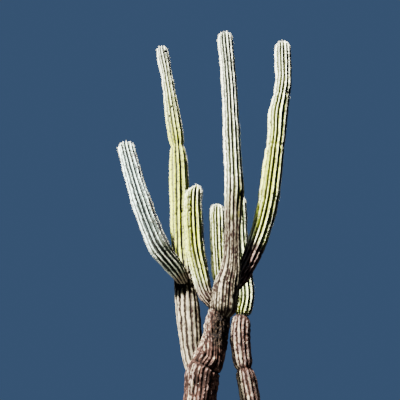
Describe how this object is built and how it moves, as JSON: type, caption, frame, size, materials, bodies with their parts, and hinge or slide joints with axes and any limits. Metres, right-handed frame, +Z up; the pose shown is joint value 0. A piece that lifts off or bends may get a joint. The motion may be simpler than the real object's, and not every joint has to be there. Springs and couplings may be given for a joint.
{
  "type": "branched columnar cactus",
  "caption": "Tall ribbed columnar desert cactus with a leaning corky trunk, a low rear stem and upright arms, rooted in level ground.",
  "frame": {"origin": "middle of the trunk's flat cut at ground level", "axes": "+Z up, +X to the right of a viewer who faces the plant from -Y, where the arms spread widest"},
  "size_m": [4.3823, 2.0846, 10.8],
  "materials": {
    "corky_wood": "rough weathered cork",
    "grey_skin": "waxy grey-green skin, matte",
    "green_skin": "yellow-green skin, matte",
    "spines": "dry pale spines and felt"
  },
  "bodies": {
    "root": {"trunk": "corky_wood", "left_stem": "corky_wood", "left_arm_elbow": "grey_skin", "left_arm": "grey_skin", "tall_arm_lower": "green_skin", "tall_arm_upper": "green_skin", "centre_arm_lower": "corky_wood", "centre_arm_upper": "grey_skin", "short_arm_elbow": "green_skin", "short_arm": "green_skin", "right_arm_elbow": "grey_skin", "right_arm_lower": "green_skin", "right_arm_upper": "green_skin", "rear_stem_root": "corky_wood", "rear_stem_foot": "corky_wood", "rear_stem_middle": "corky_wood", "rear_stem_top": "green_skin", "rear_arm_elbow": "green_skin", "rear_arm": "green_skin"}
  },
  "joints": []
}
